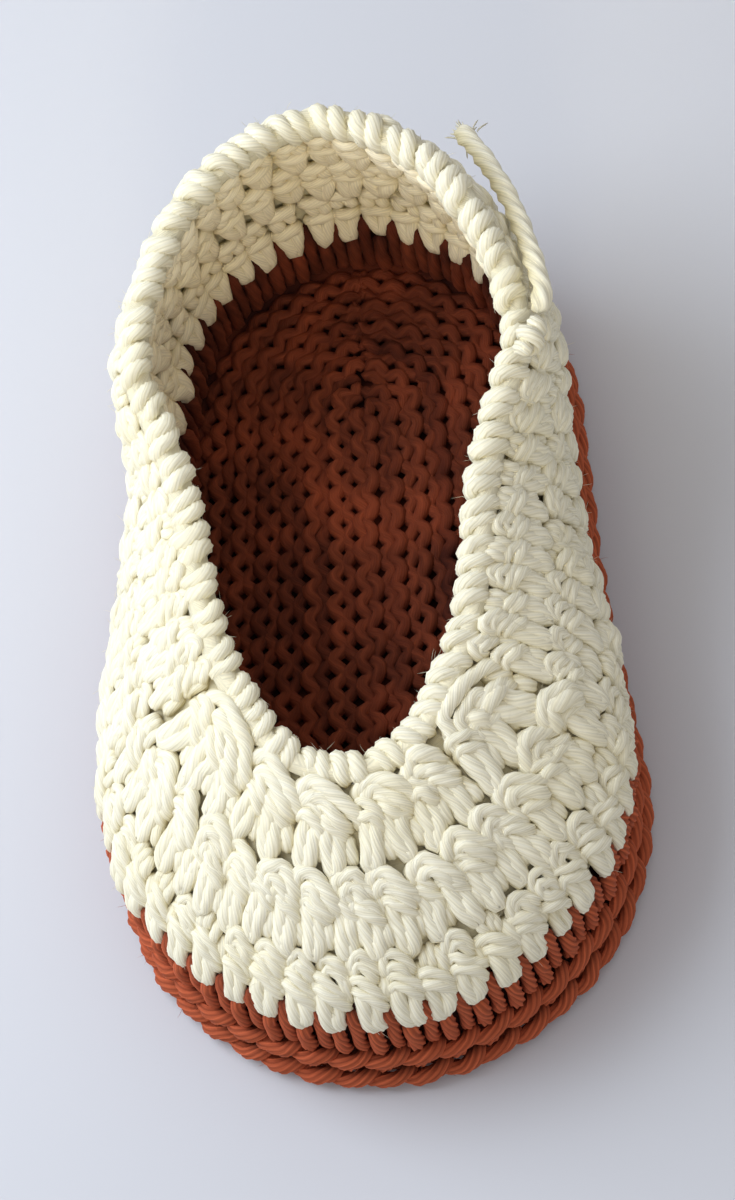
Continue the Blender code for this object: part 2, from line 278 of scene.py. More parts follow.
class StrandMesh:
    """Gathers swept strands and turns them into one mesh of closed tubes."""

    # Loose fibres start just under the surface, where the level of painted light shows it is this near to
    # the face of the fabric.
    FACE_PAINTED_LIGHT: float = 0.8
    ROOT_DEPTH: float = 0.9

    def __init__(self) -> None:
        """Starts with no strands."""
        self.points: list[Array] = []
        self.painted_lights: list[Array] = []
        self.faces: list[Array] = []
        self.sizes: list[Array] = []
        self.uvs: list[Array] = []
        self.roots: list[Array] = []
        self.count = 0

    def add_tubes(self, rings: Array, along: Array, painted_light: Array) -> None:
        """Adds tubes with closed ends.

        Args:
            rings: strands x rings x sides x 3 places.
            along: strands x rings lengths from each strand's start.
            painted_light: strands x rings x sides, the level of painted light: 1 on the face of the fabric
                and 0, full painted shade, deep in it.
        """
        strands, levels, sides, _ = rings.shape
        first = self.count + (np.arange(strands) * levels * sides)[:, None, None]
        k, j = np.arange(levels - 1)[None, :, None], np.arange(sides)[None, None, :]
        a, b = first + k * sides + j, first + k * sides + (j + 1) % sides
        quads = np.stack([a, b, b + sides, a + sides], axis=-1)
        length = np.broadcast_to(along[..., None] / MM, rings.shape[:3])
        low, high = length[:, :-1], length[:, 1:]
        left, right = np.broadcast_arrays(j / sides, low)[0], np.broadcast_arrays((j + 1) / sides, low)[0]
        quad_uv = np.stack([low, left, low, right, high, right, high, left], axis=-1)
        start = first[:, 0] + np.arange(sides)[::-1]
        end = first[:, 0] + (levels - 1) * sides + np.arange(sides)
        for ring, level in ((start, 0), (end, levels - 1)):
            flat = np.stack([length[:, level], np.broadcast_to(np.arange(sides) / sides, ring.shape)], -1)
            self.faces.append(ring.ravel())
            self.sizes.append(np.full(strands, sides))
            self.uvs.append(flat.reshape(-1, 2))
        self.faces.append(quads.ravel())
        self.sizes.append(np.full(quads.size // 4, 4))
        self.uvs.append(quad_uv.reshape(-1, 2))
        self.points.append(rings.reshape(-1, 3))
        self.painted_lights.append(painted_light.ravel())
        self.count += strands * levels * sides

    def add_roots(self, line: Array, offset: Array, along: Array, painted_light: Array, count: int,
                  rng: np.random.Generator) -> None:
        """Picks places on the face of the strands where loose fibres stand out.

        Args:
            line: strands x rings x 3 places on the strands' middles.
            offset: strands x rings x sides x 3 from there to the surface.
            along: strands x rings x 3 directions of the strands.
            painted_light: strands x rings x sides, the level of painted light, near 1 on the face of the
                fabric.
            count: how many to pick.
            rng: picks them.
        """
        s, k, j = np.nonzero(painted_light > self.FACE_PAINTED_LIGHT)
        if len(s) and count:
            pick = rng.integers(0, len(s), count)
            s, k, j = s[pick], k[pick], j[pick]
            out = offset[s, k, j]
            self.roots.append(np.stack([line[s, k] + self.ROOT_DEPTH * out, unit(out), along[s, k]], axis=1))

    def add_faces(self, points: Array, faces: list[Array], painted_light: float) -> None:
        """Adds a plain closed body.

        Args:
            points: its places.
            faces: for each face, the numbers of its points.
            painted_light: the level of painted light all over it, 0 for full painted shade.
        """
        self.faces.append(np.concatenate(faces) + self.count)
        self.sizes.append(np.array([len(f) for f in faces]))
        self.uvs.append(np.concatenate([points[f][:, 1:] / MM for f in faces]))
        self.points.append(points)
        self.painted_lights.append(np.full(len(points), painted_light))
        self.count += len(points)

    def piece(self, name: str, material: bpy.types.Material) -> bpy.types.Object:
        """Makes the object.

        Args:
            name: the piece's name.
            material: its finish.

        Returns:
            The object, linked to the scene and shaded smooth.
        """
        corners, sizes = np.concatenate(self.faces), np.concatenate(self.sizes)
        mesh = bpy.data.meshes.new(name)
        mesh.vertices.add(self.count)
        mesh.loops.add(len(corners))
        mesh.polygons.add(len(sizes))
        mesh.vertices.foreach_set("co", np.concatenate(self.points).astype(np.float32).ravel())
        mesh.loops.foreach_set("vertex_index", corners.astype(np.int32))
        mesh.polygons.foreach_set("loop_start", (np.cumsum(sizes) - sizes).astype(np.int32))
        mesh.update(calc_edges=True)
        mesh.shade_smooth()
        uv = mesh.uv_layers.new(name=UV_NAME)
        uv.uv.foreach_set("vector", np.concatenate(self.uvs).astype(np.float32).ravel())
        # The level of painted light goes on the mesh, for the shader's painted shade.
        painted_light = mesh.attributes.new(PAINTED_LIGHT_NAME, "FLOAT", "POINT")
        painted_light.data.foreach_set("value", np.concatenate(self.painted_lights).astype(np.float32))
        mesh.materials.append(material)
        piece = bpy.data.objects.new(name, mesh)
        bpy.context.scene.collection.objects.link(piece)
        return piece


@dataclass(frozen=True)
class Yarn:
    """A plied yarn, drawn as a tube with one ridge for each ply."""

    radius: float = 0.00102
    plies: int = 8
    sides_per_ply: int = 2
    ply_depth: float = 0.13
    # The length in which the plies make one turn, and that between rings of the mesh.
    lay: float = 0.0130
    step: float = 0.00060
    # Painted shade: the distances out of the fabric where the level of painted light is 0, full painted
    # shade, and 1, none, and how much painted shade the grooves between the plies take off it.
    full_shade_out: float = -0.0017
    no_shade_out: float = 0.0003
    groove_shade: float = 0.28
    # Each strand's painted shade is moved a little at random.
    shade_jitter: float = 0.05
    # Thick and thin places, and how many radii apart they come.
    slub: float = 0.06
    slub_run: float = 5.0
    # How much a strand is pressed flat, and how much it spreads for that.
    pressed: float = 0.0
    widened: float = 0.0
    # Loose fibres that stand out of each millimetre.
    loose: float = 0.0
    # What a strand's rounded end keeps of its section.
    blunt: float = 0.02

    def sweep(self, mesh: StrandMesh, controls: Array, girth: Array, rng: np.random.Generator) -> None:
        """Sweeps many strands of this yarn.

        Args:
            mesh: takes the tubes.
            controls: strands x points x 7: place, facing direction and distance out of the fabric.
            girth: one thickness factor for each strand.
            rng: turns each strand's plies by a random angle.
        """
        lines = smooth_lines(controls, self.step)
        centre, facing, out = lines[..., :3], unit(lines[..., 3:6]), lines[..., 6]
        strands, levels = out.shape
        tangent = unit(np.gradient(centre, axis=1))
        side = np.empty_like(centre)
        side[:, 0] = facing[:, 0]
        for k in range(levels):
            last = side[:, max(k - 1, 0)]
            side[:, k] = unit(last - (last * tangent[:, k]).sum(-1, keepdims=True) * tangent[:, k])
        other = np.cross(tangent, side)
        runs = np.linalg.norm(np.diff(centre, axis=1), axis=-1)
        along = np.concatenate([np.zeros((strands, 1)), np.cumsum(runs, axis=1)], axis=1)
        sides = self.sides_per_ply * self.plies
        groove = (1 - np.cos(2 * np.pi * np.arange(sides) / self.sides_per_ply)) / 2
        wander = rng.uniform(0, 2 * np.pi, (strands, 1)) + 2 * np.pi * along / (self.slub_run * self.radius)
        radius = self.radius * girth[:, None] * (1 + self.slub * np.sin(wander))
        to_end = np.minimum(along, along[:, -1:] - along) / radius
        rounded = np.sqrt(np.clip(1 - (1 - np.clip(to_end, 0, 1)) ** 2, self.blunt, 1))
        turn = (2 * np.pi * np.arange(sides) / sides - 2 * np.pi * along[..., None] / self.lay
                + rng.uniform(0, 2 * np.pi, (strands, 1, 1)))
        reach = (radius * rounded)[..., None] * (1 - self.ply_depth * groove)
        offset = (reach * np.cos(turn))[..., None] * side[:, :, None] \
            + (reach * np.sin(turn))[..., None] * other[:, :, None]
        rise = (offset * facing[:, :, None]).sum(-1, keepdims=True) * facing[:, :, None]
        offset = (offset - rise) * (1 + self.widened) + rise * (1 - self.pressed)
        # Painted shade: a point's colour is painted darker the deeper it lies in the fabric, and darker
        # still in the grooves between the plies.
        height = out[..., None] + (offset * facing[:, :, None]).sum(-1)
        painted_light = (height - self.full_shade_out) / (self.no_shade_out - self.full_shade_out)
        painted_light = np.clip(painted_light + rng.normal(0, self.shade_jitter, (strands, 1, 1)), 0, 1)
        loose = round(self.loose * along[:, -1].sum() / MM)
        mesh.add_roots(centre, offset, tangent, painted_light, loose, rng)
        painted_light = painted_light * (1 - self.groove_shade * groove)
        mesh.add_tubes(centre[:, :, None] + offset, along, painted_light)


@dataclass
class LooseFibres:
    """Single fibres that stand out of the yarn and soften its edges."""

    name: str
    # A cotton fibre is about 0.02 mm thick; it is drawn at 0.04 mm so that it shows.
    hair: Yarn = Yarn(radius=0.000020, plies=3, sides_per_ply=1, ply_depth=0.0, step=0.001)
    length: tuple[float, float] = (0.0004, 0.0015)
    # Shares of standing out, running along the yarn, straying and curling.
    lift: float = 0.7
    follow: float = 0.8
    stray: float = 0.25
    curl: float = 0.4
    lowest: float = 0.0002

    def build(self, roots: list[Array], finish: CottonFinish, material: bpy.types.Material) -> None:
        """Grows one curved fibre from each place.

        Args:
            roots: for each place, the place, the direction out of the yarn and that along it.
            finish: names the slot.
            material: the yarn's material.
        """
        rng = np.random.default_rng(SEED + 40)
        place, out, run = np.moveaxis(np.concatenate(roots), 1, 0)
        count = len(place)
        lean = unit(self.lift * out + run * rng.normal(0, self.follow, (count, 1))
                    + rng.normal(0, self.stray, (count, 3)))
        curl = self.curl * unit(rng.normal(0, 1, (count, 3)))
        reach = rng.uniform(*self.length, (count, 1, 1))
        steps = np.linspace(0, 1, 4)[None, :, None]
        line = place[:, None] + reach * (lean[:, None] * steps + curl[:, None] * steps ** 2)
        line[..., 2] = np.maximum(line[..., 2], self.lowest)
        mesh = StrandMesh()
        self.hair.sweep(mesh, pinned(line, out[:, None], 0 * line[..., 0]), np.ones(count), rng)
        settle(mesh.piece(self.name, material), finish.slot)


@dataclass
class ShoeForm:
    """The last: the sole's outline, the collar's line and the wall between them, as in the solids."""

    toe_radius: float = 0.029
    heel_radius: float = 0.024
    toe_centre: float = -0.021
    heel_centre: float = 0.026
    waist: float = 0.0008
    wall: float = 0.0030
    seam: float = 0.0003
    upper_inset: float = 0.0028
    upper_base: float = 0.0134
    # Beside the ball of the foot the band leans out between these heights, and the upper with it.
    side_spread: float = 0.0016
    spread_span: tuple[float, float] = (0.10, 0.75)
    lean_span: tuple[float, float] = (0.0077, 0.0131)
    # share, along the foot, half width, height
    collar_line: Rows = (
        (0.00, -0.0266, 0.0000, 0.0288), (0.13, -0.0249, 0.0058, 0.0290),
        (0.25, -0.0206, 0.0100, 0.0296), (0.33, -0.0147, 0.0132, 0.0306),
        (0.40, -0.0096, 0.0149, 0.0314), (0.48, -0.0028, 0.0162, 0.0326),
        (0.56, 0.0042, 0.0173, 0.0333), (0.63, 0.0107, 0.0192, 0.0342),
        (0.70, 0.0180, 0.0215, 0.0362), (0.78, 0.0267, 0.0197, 0.0388),
        (0.89, 0.0380, 0.0126, 0.0408), (1.00, 0.0438, 0.0000, 0.0414),
    )
    # share, bulge and rise of the low guide, reach and drop of the high guide
    wall_shape: Rows = (
        (0.00, 0.0016, 0.0036, 0.0098, 0.0042), (0.25, 0.0016, 0.0040, 0.0094, 0.0044),
        (0.42, 0.0015, 0.0054, 0.0070, 0.0050), (0.58, 0.0016, 0.0070, 0.0045, 0.0062),
        (0.77, 0.0020, 0.0092, 0.0026, 0.0088), (1.00, 0.0020, 0.0095, 0.0027, 0.0094),
    )
    columns: int = 768
    levels: int = 113
    lowest: float = -0.25
    highest: float = 1.15
    grid: Array = field(init=False, repr=False)
    normals: Array = field(init=False, repr=False)

    def __post_init__(self) -> None:
        """Works out the wall once, as a fine grid of places and normals."""
        apart = self.heel_centre - self.toe_centre
        self.taper = math.asin((self.toe_radius - self.heel_radius) / apart)
        self.toe_arc = self.toe_radius * (math.pi / 2 + self.taper)
        self.side_run = apart * math.cos(self.taper)
        self.half_round = self.toe_arc + self.side_run + self.heel_radius * (math.pi / 2 - self.taper)
        self.grid = self.even_grid(-1 + 2 * np.arange(self.columns) / self.columns)
        around = np.roll(self.grid, -1, axis=0) - np.roll(self.grid, 1, axis=0)
        self.normals = unit(np.cross(around, np.gradient(self.grid, axis=1)))

    def even_grid(self, share: Array) -> Array:
        """Spaces places evenly up each column of the wall, and straight on past its ends.

        Args:
            share: where round the foot each column stands.

        Returns:
            Columns x levels x 3 places.
        """
        curve = self.wall_places(share[:, None], np.linspace(0, 1, 65)[None, :])
        runs = np.linalg.norm(np.diff(curve, axis=1), axis=-1)
        along = np.concatenate([np.zeros((len(share), 1)), np.cumsum(runs, axis=1)], axis=1)
        climb = np.linspace(self.lowest, self.highest, self.levels)
        inside = np.clip(climb, 0, 1)
        grid = np.stack([
            np.stack([np.interp(inside * a[-1], a, c[:, k]) for k in range(3)], axis=-1)
            for a, c in zip(along, curve)])
        start, end = unit(curve[:, 1] - curve[:, 0]), unit(curve[:, -1] - curve[:, -2])
        onward = np.where((climb < 0)[None, :, None], start[:, None], end[:, None])
        return grid + onward * (climb - inside)[None, :, None] * along[:, -1][:, None, None]

    def spread(self, share: Array, height: Array | float) -> Array:
        """Finds how far the fabric leans out beside the ball of the foot.

        Args:
            share: where round the foot.
            height: above the floor.

        Returns:
            The distance out.
        """
        (first, last), (low, high) = self.spread_span, self.lean_span
        part = np.clip((np.abs(share) - first) / (last - first), 0, 1)
        lean = np.clip((np.asarray(height) - low) / (high - low), 0, 1)
        return self.side_spread * lean * np.sin(np.pi * part) ** 2

    def outward(self, share: Array) -> tuple[Array, Array, Array]:
        """Follows the sole's outline.

        Args:
            share: where round the foot.

        Returns:
            The direction out of the outline, and the centre and radius that it is drawn from.
        """
        run = np.abs(share) * self.half_round
        square = math.pi / 2 + self.taper
        part = np.clip((run - self.toe_arc) / self.side_run, 0, 1)
        angle = np.select(
            [run < self.toe_arc, run < self.toe_arc + self.side_run],
            [run / self.toe_radius, np.full_like(run, square)],
            square + (run - self.toe_arc - self.side_run) / self.heel_radius)
        centre = self.toe_centre + part * (self.heel_centre - self.toe_centre)
        radius = self.toe_radius + part * (self.heel_radius - self.toe_radius)
        radius = radius - self.waist * np.sin(math.pi * part) ** 2
        away = np.stack([np.copysign(np.sin(angle), share), -np.cos(angle), 0 * angle], axis=-1)
        return away, centre, radius

    def outline(self, share: Array, inset: Array | float, height: Array | float) -> tuple[Array, Array]:
        """Finds places on an outline inside the sole's.

        Args:
            share: where round the foot.
            inset: how far inside the sole's edge.
            height: above the floor.

        Returns:
            The places, and the directions out of the outline there.
        """
        away, centre, radius = self.outward(np.asarray(share, float))
        place = away * (radius - inset + self.spread(share, height))[..., None]
        place[..., 1] += centre
        place[..., 2] += height
        return place, away

    @staticmethod
    def from_table(rows: Rows, column: int, share: Array, mirror: float = 1.0) -> Array:
        """Reads one column of a table as a smooth curve that is mirrored at the toe and the heel.

        Args:
            rows: the table, with share in column 0.
            column: which column to read.
            share: where round the foot.
            mirror: -1 for a value that changes sign across the middle of the foot.

        Returns:
            The column's value at each share.
        """
        knots, values = np.array(rows)[:, 0], np.array(rows)[:, column]
        wide = np.concatenate([[-knots[1]], knots, [2 - knots[-2]]])
        high = np.concatenate([[mirror * values[1]], values, [mirror * values[-2]]])
        slopes = (high[2:] - high[:-2]) / (wide[2:] - wide[:-2])
        at = np.abs(share)
        i = np.clip(np.searchsorted(knots, at, side="right") - 1, 0, len(knots) - 2)
        span = knots[i + 1] - knots[i]
        u = (at - knots[i]) / span
        return ((1 + 2 * u) * (1 - u) ** 2 * values[i] + u * (1 - u) ** 2 * span * slopes[i]
                + u ** 2 * (3 - 2 * u) * values[i + 1] - u ** 2 * (1 - u) * span * slopes[i + 1])

    def wall_places(self, share: Array, climb: Array) -> Array:
        """Finds places on the wall's outer face, each column of which is a cubic curve.

        Args:
            share: where round the foot.
            climb: how far up the wall.

        Returns:
            The places.
        """
        foot, away = self.outline(share, self.upper_inset, self.upper_base)
        half = np.copysign(self.from_table(self.collar_line, 2, share, -1.0), share)
        top = np.stack([half, self.from_table(self.collar_line, 1, share),
                        self.from_table(self.collar_line, 3, share)], axis=-1)
        bulge, rise, reach, drop = (
            self.from_table(self.wall_shape, c, share)[..., None] for c in range(1, 5))
        low, high = foot + away * bulge + UP * rise, top + away * reach - UP * drop
        t = climb[..., None]
        return foot * (1 - t) ** 3 + 3 * low * t * (1 - t) ** 2 + 3 * high * t ** 2 * (1 - t) + top * t ** 3

    def place(self, share: Array, climb: Array, out: Array) -> Array:
        """Finds places over the wall by reading the grid.

        Args:
            share: where round the foot.
            climb: how far up the wall.
            out: how far outside its outer face.

        Returns:
            For each, the place, the wall's normal and out, as 7 numbers.
        """
        share, climb, out = np.broadcast_arrays(share, climb, out)
        u = np.mod(share + 1, 2) / 2 * self.columns
        v = (climb - self.lowest) / (self.highest - self.lowest) * (self.levels - 1)
        i, j = np.floor(u).astype(int), np.clip(np.floor(v).astype(int), 0, self.levels - 2)
        fu, fv = (u - i)[..., None], (v - j)[..., None]
        i0, i1 = i % self.columns, (i + 1) % self.columns

        def read(table: Array) -> Array:
            """Reads a table between its grid points."""
            return ((table[i0, j] * (1 - fu) + table[i1, j] * fu) * (1 - fv)
                    + (table[i0, j + 1] * (1 - fu) + table[i1, j + 1] * fu) * fv)

        normal = unit(read(self.normals))
        return pinned(read(self.grid) + normal * out[..., None], normal, out)

    def breadth(self, share: Array, climb: Array | float) -> Array:
        """Measures how wide the wall is round the foot.

        Args:
            share: where round the foot.
            climb: how far up the wall.

        Returns:
            The length round the wall, in metres, of one unit of share.
        """
        step = 0.004
        ahead, behind = (self.place(share + s, climb, 0.0)[..., :3] for s in (step, -step))
        return np.linalg.norm(ahead - behind, axis=-1) / (2 * step)


@dataclass(frozen=True)
class Strand:
    """One length of yarn in a stitch, with a row of numbers for each point that it goes through."""

    path: Rows
    girth: float = 1.0


@dataclass(frozen=True)
class Stitches:
    """Where the stitches of a round stand: shares at the foot and the head of each, and its width."""

    base: Array
    top: Array
    width: Array
    sway: Array

    def chosen(self, which: Array) -> "Stitches":
        """Returns only the stitches that are marked True."""
        return Stitches(*(getattr(self, f.name)[which] for f in fields(self)))


class Face(Enum):
    """The side of the fabric that a strand shows on."""

    OUTER = "outer"
    INNER = "inner"


def settle(piece: bpy.types.Object, slot: str, *nodes: str) -> None:
    """Rides a piece on the shoe's body and reports it.

    Args:
        piece: the piece.
        slot: the record's material slot that its finish comes from; not used.
        nodes: the solids that it stands for.
    """
    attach(piece, BODY)
    if nodes:
        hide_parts(*nodes)
    triangles = sum(len(p.vertices) - 2 for p in piece.data.polygons)
    LOG.info("%s: %d triangles", piece.name, triangles)


@dataclass
class Upper:
    """Three rounds of double crochet, with decreases over the toe, and the fabric's back inside."""

    form: ShoeForm
    yarn: Yarn = Yarn(ply_depth=0.14, groove_shade=0.24, pressed=0.12, widened=0.06,
                      full_shade_out=-0.0014, no_shade_out=0.0001, loose=0.12)
    fine_yarn: Yarn = Yarn(plies=5, ply_depth=0.15, groove_shade=0.24, lay=0.0080, pressed=0.10,
                           widened=0.06, full_shade_out=-0.0014, no_shade_out=0.0001, loose=0.12)
    columns: int = 64
    rows: int = 3
    toe_columns: int = 21
    # How many stitches of each round over the toe are worked together at the top.
    toe_groups: tuple[tuple[int, ...], ...] = (
        (1,) * 21, (2, 1) * 7, (3, 2, 2, 2, 2, 3))
    # How far a leg leans towards the head that it shares, and how many columns such a head spans.
    gather: float = 0.5
    shared_width: float = 1.25
    stitch: float = 0.0040
    # How far points of a strand, and whole stitches, stray across, up and out.
    wobble: tuple[float, float, float] = (0.15, 0.018, 0.09)
    sway: tuple[float, float, float] = (0.22, 0.022, 0.14)
    sunk_mm: float = 0.55
    girth_span: tuple[float, float] = (0.90, 1.20)
    girth_jitter: float = 0.06
    # Strands no thicker than this are drawn with the fine yarn.
    fine_below: float = 0.8
    # Across in mm of a 4 mm stitch, up in shares of the row, out in mm.
    legs: tuple[Strand, ...] = (
        Strand(((-0.9, 0.68, -0.6), (-0.78, 0.54, -0.05), (-0.68, 0.38, 0.15), (-0.57, 0.20, 0.25),
                (-0.40, 0.06, 0.20), (0.0, -0.03, 0.0), (0.40, 0.06, 0.20), (0.57, 0.20, 0.25),
                (0.68, 0.36, 0.15), (0.8, 0.52, -0.1), (0.9, 0.64, -0.7)), 0.92),
        Strand(((-2.0, 0.64, -1.2), (-1.7, 0.73, -0.2), (-1.0, 0.76, 0.40), (0.0, 0.70, 0.65),
                (1.0, 0.61, 0.50), (1.7, 0.51, 0.1), (2.0, 0.43, -1.1)), 0.68),
        Strand(((-1.9, 0.50, -1.2), (-1.6, 0.59, -0.15), (-1.0, 0.62, 0.48), (0.0, 0.56, 0.75),
                (1.0, 0.47, 0.58), (1.6, 0.39, 0.1), (1.9, 0.31, -1.1)), 0.72),
        Strand(((1.95, 0.82, -0.8), (2.0, 0.66, -0.25), (2.05, 0.52, -0.20), (2.0, 0.40, -0.9)), 0.9),
    )
    # Between the legs of the upper rounds, where no band shows through.
    between: Strand = Strand(
        ((1.9, 0.42, -0.6), (2.0, 0.30, -0.10), (2.05, 0.17, -0.10), (2.0, 0.06, -0.8)), 0.86)
    # Where legs are worked together, wide loops close over some, and others cross to the next one.
    closing: tuple[Strand, ...] = (
        Strand(((-1.7, 0.58, -0.8), (-1.7, 0.72, 0.1), (-1.3, 0.89, 0.40), (-0.4, 0.98, 0.55),
                (0.6, 0.97, 0.60), (1.4, 0.86, 0.50), (1.85, 0.70, 0.20), (1.9, 0.56, -0.8)), 0.74),
        Strand(((-1.05, 0.54, -0.8), (-1.0, 0.66, 0.25), (-0.6, 0.79, 0.50), (0.0, 0.83, 0.65),
                (0.7, 0.77, 0.55), (1.15, 0.63, 0.25), (1.2, 0.50, -0.8)), 0.74),
        Strand(((-0.3, 0.46, -0.6), (-0.2, 0.56, 0.35), (0.0, 0.66, 0.40), (0.1, 0.76, -0.5)), 0.76),
    )
    crossing: tuple[Strand, ...] = (
        Strand(((-1.5, 0.66, -0.8), (-1.6, 0.82, 0.1), (-1.1, 0.95, 0.40), (0.0, 0.97, 0.60),
                (1.0, 0.87, 0.72), (1.8, 0.72, 0.70), (2.3, 0.58, 0.30), (2.4, 0.46, -0.7)), 0.72),
        Strand(((-1.0, 0.60, -0.8), (-0.9, 0.74, 0.2), (-0.4, 0.83, 0.55), (0.4, 0.79, 0.72),
                (1.1, 0.67, 0.80), (1.6, 0.54, 0.50), (1.8, 0.42, -0.6)), 0.72),
    )
    arch: tuple[Strand, ...] = (
        Strand(((-1.45, 0.70, -0.8), (-1.6, 0.84, 0.0), (-1.15, 0.965, 0.35), (-0.2, 1.0, 0.45),
                (0.8, 0.93, 0.40), (1.6, 0.80, 0.20), (1.9, 0.68, -0.7)), 0.68),
        Strand(((-0.95, 0.70, -0.8), (-0.95, 0.79, 0.05), (-0.6, 0.87, 0.40), (0.0, 0.88, 0.52),
                (0.7, 0.81, 0.48), (1.25, 0.70, 0.25), (1.5, 0.60, -0.7)), 0.68),
    )
    risers: tuple[Strand, ...] = (
        Strand(((-1.25, 0.66, -0.6), (-1.35, 0.80, 0.15), (-1.2, 0.93, 0.15), (-0.8, 1.03, -0.6)), 0.66),
        Strand(((-0.35, 0.62, -0.6), (-0.3, 0.78, 0.20), (-0.2, 0.92, 0.20), (0.1, 1.02, -0.6)), 0.66),
        Strand(((0.6, 0.56, -0.6), (0.8, 0.72, 0.28), (0.95, 0.87, 0.28), (0.8, 1.0, -0.5)), 0.68),
    )
    arched_share: float = 0.55
    back: tuple[Strand, ...] = (
        Strand(((-1.3, 0.46, -0.6), (-0.95, 0.30, 0.1), (-0.38, 0.07, 0.2), (0.0, -0.04, 0.05),
                (0.38, 0.07, 0.2), (0.95, 0.30, 0.1), (1.3, 0.46, -0.6)), 0.86),
        Strand(((-2.0, 0.41, -0.9), (-1.0, 0.47, 0.15), (0.0, 0.49, 0.35), (1.0, 0.47, 0.15),
                (2.0, 0.41, -0.9)), 0.82),
        Strand(((-1.2, 0.56, -0.6), (-1.15, 0.68, 0.2), (-0.7, 0.82, -0.5)), 0.80),
        Strand(((0.5, 0.56, -0.6), (0.75, 0.69, 0.2), (1.2, 0.82, -0.5)), 0.80),
        Strand(((-2.0, 0.86, -0.9), (-1.0, 0.91, 0.15), (0.0, 0.93, 0.35), (1.0, 0.91, 0.15),
                (2.0, 0.86, -0.9)), 0.82),
    )
    lining_yarn: Yarn = Yarn(plies=8, sides_per_ply=1, step=0.0008, pressed=0.10, widened=0.08,
                             no_shade_out=0.0001)
    # A shell under the stitches fills the gaps between them; its colour is painted halfway into painted
    # shade.
    core_depth: tuple[float, float] = (0.0011, 0.0020)
    core_climb: tuple[float, float] = (0.11, 0.99)
    core_grid: tuple[int, int] = (192, 28)
    core_painted_light: float = 0.5
    roots: list[Array] = field(default_factory=list)

    def rounds(self) -> list[tuple[Stitches, Stitches]]:
        """Counts out the stitches.

        Returns:
            For each round, its legs and its heads: over the toe some legs share one head.
        """
        rng = np.random.default_rng(SEED + 5)
        width = 2 / self.columns
        half_toe = self.toe_columns // 2
        every = np.arange(-self.columns // 2, self.columns // 2)
        plain = every[np.abs(every) > half_toe] * width
        reach = self.toe_columns * width
        made = []
        for row, groups in enumerate(self.toe_groups):
            legs, heads = sum(groups), len(groups)
            foot = ((np.arange(legs) + 0.5) / legs - 0.5) * reach
            top = ((np.arange(heads) + 0.5) / heads - 0.5) * reach
            owner = np.repeat(np.arange(heads), groups)
            middle = np.array([foot[owner == g].mean() for g in range(heads)])
            shift = row % 2 * width / 2
            leg_width = np.r_[np.full(len(plain), width), np.full(legs, reach / legs)]
            head_width = np.r_[np.full(len(plain), width), np.full(heads, reach / heads)]
            leaning = np.r_[plain, foot + self.gather * (top[owner] - foot)]
            made.append((
                Stitches(np.r_[plain, foot] + shift, leaning + shift, leg_width,
                         rng.normal(0, 1, (len(leg_width), 1, 3)) * self.sway),
                Stitches(np.r_[plain, middle] + shift, np.r_[plain, top] + shift, head_width,
                         rng.normal(0, 1, (len(head_width), 1, 3)) * self.sway)))
        return made

    def lay(self, mesh: StrandMesh, strand: Strand, stitches: Stitches, row: int, face: Face,
            rng: np.random.Generator) -> None:
        """Lays one strand of every stitch in a round.

        Args:
            mesh: takes the tubes.
            strand: the strand's path in a stitch.
            stitches: where the stitches stand.
            row: the round's number, from the sole.
            face: the side of the wall that it shows on.
            rng: moves each strand a little.
        """
        if len(stitches.base) == 0:
            return
        path = np.array(strand.path)
        loose = rng.normal(0, 1, (len(stitches.base), len(path), 3)) * self.wobble
        across, up, out = np.moveaxis(path + loose + stitches.sway, -1, 0)
        centre = stitches.base[:, None] + (stitches.top - stitches.base)[:, None] * np.clip(up, 0, 1)
        share = centre + across * MM / self.stitch * stitches.width[:, None]
        climb = (row + up) / self.rows
        size = stitches.width * self.form.breadth(centre.mean(axis=1), (row + 0.5) / self.rows)
        girth = np.clip(size / self.stitch, *self.girth_span)
        depth = (out - self.sunk_mm) * MM * girth[:, None]
        yarn = self.yarn if strand.girth > self.fine_below else self.fine_yarn
        if face is Face.INNER:
            yarn = self.lining_yarn
            depth = -self.form.wall - depth
        controls = self.form.place(share, climb, depth)
        if face is Face.INNER:
            controls[..., 3:6] *= -1
            controls[..., 6] = -self.form.wall - controls[..., 6]
        thickness = girth * strand.girth * rng.normal(1, self.girth_jitter, len(girth))
        yarn.sweep(mesh, controls, thickness, rng)

    def build(self, finish: CottonFinish, material: bpy.types.Material,
              inside: bpy.types.Material) -> None:
        """Makes the rounds, the lining face and the core.

        Args:
            finish: names the slot.
            material: the yarn's material.
            inside: the same yarn's material on the lining face, with painted light for the light that comes
                through the cotton.
        """
        lining = StrandMesh()
        for row, (legs, heads) in enumerate(self.rounds()):
            rng = np.random.default_rng(SEED + row)
            mesh = StrandMesh()
            shared = heads.width > self.shared_width * 2 / self.columns
            arched = rng.random(len(heads.base)) < self.arched_share
            for strand in self.legs + ((self.between,) if row else ()):
                self.lay(mesh, strand, legs, row, Face.OUTER, rng)
            for strands, which in ((self.closing, arched & shared), (self.crossing, ~arched & shared),
                                   (self.arch, arched & ~shared), (self.risers, ~arched & ~shared)):
                for strand in strands:
                    self.lay(mesh, strand, heads.chosen(which), row, Face.OUTER, rng)
            for strand in self.back:
                self.lay(lining, strand, legs, row, Face.INNER, rng)
            self.roots += mesh.roots
            nodes = ("upper",) if row == 0 else ()
            settle(mesh.piece(f"upper_round_{row + 1}", material), finish.slot, *nodes)
        settle(lining.piece("upper_lining_face", inside), finish.slot)
        settle(self.core().piece("upper_core", material), finish.slot)

